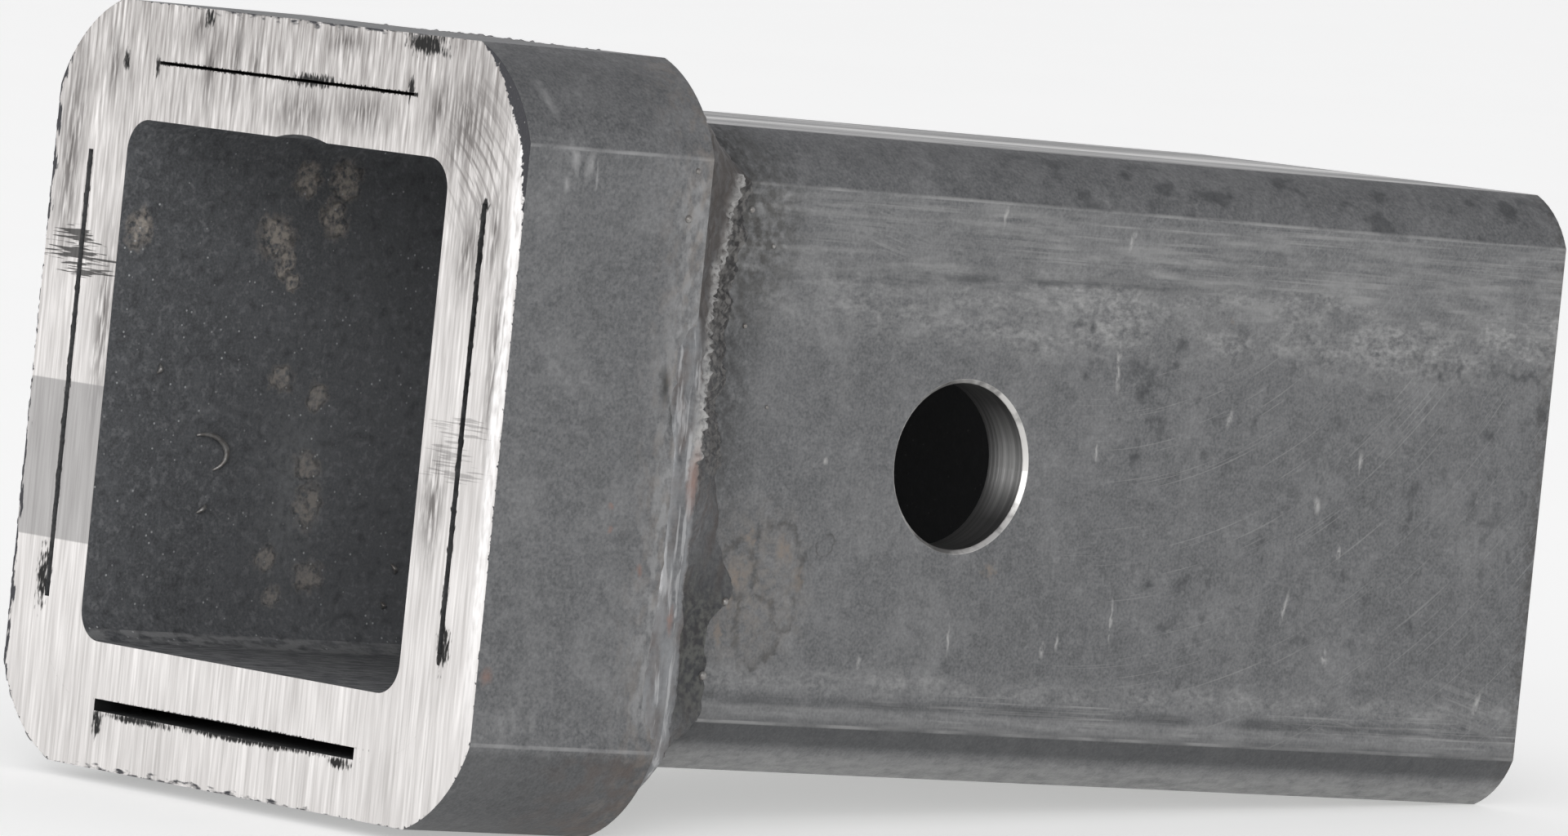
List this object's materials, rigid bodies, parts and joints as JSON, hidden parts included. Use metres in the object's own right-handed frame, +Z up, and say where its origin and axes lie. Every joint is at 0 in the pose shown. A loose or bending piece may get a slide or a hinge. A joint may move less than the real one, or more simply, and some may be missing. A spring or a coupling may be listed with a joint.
{
  "type": "weld-on receiver tube",
  "caption": "Square steel receiver tube with a reinforcing collar welded round its mouth and a cross hole for a hitch pin, for welding into a towing frame.",
  "frame": {"origin": "centre of the tube's opening on the ground front face", "axes": "+Y runs from the mouth into the tube, +X towards the side wall with the pin hole in view, +Z up to the wall with the tube's seam"},
  "size_m": [0.0773, 0.142, 0.0767],
  "materials": {
    "tube_steel": "hot-rolled mill scale, ground bright at the mouth",
    "collar_steel": "hot-rolled mill scale, ground bright at the mouth",
    "weld_metal": "as welded, wire brushed",
    "ground_weld_metal": "ground flush"
  },
  "bodies": {
    "root": {"receiver_tube": "tube_steel", "reinforcing_collar": "collar_steel", "rear_fillet_weld": "weld_metal", "front_corner_welds": "ground_weld_metal"}
  },
  "joints": []
}
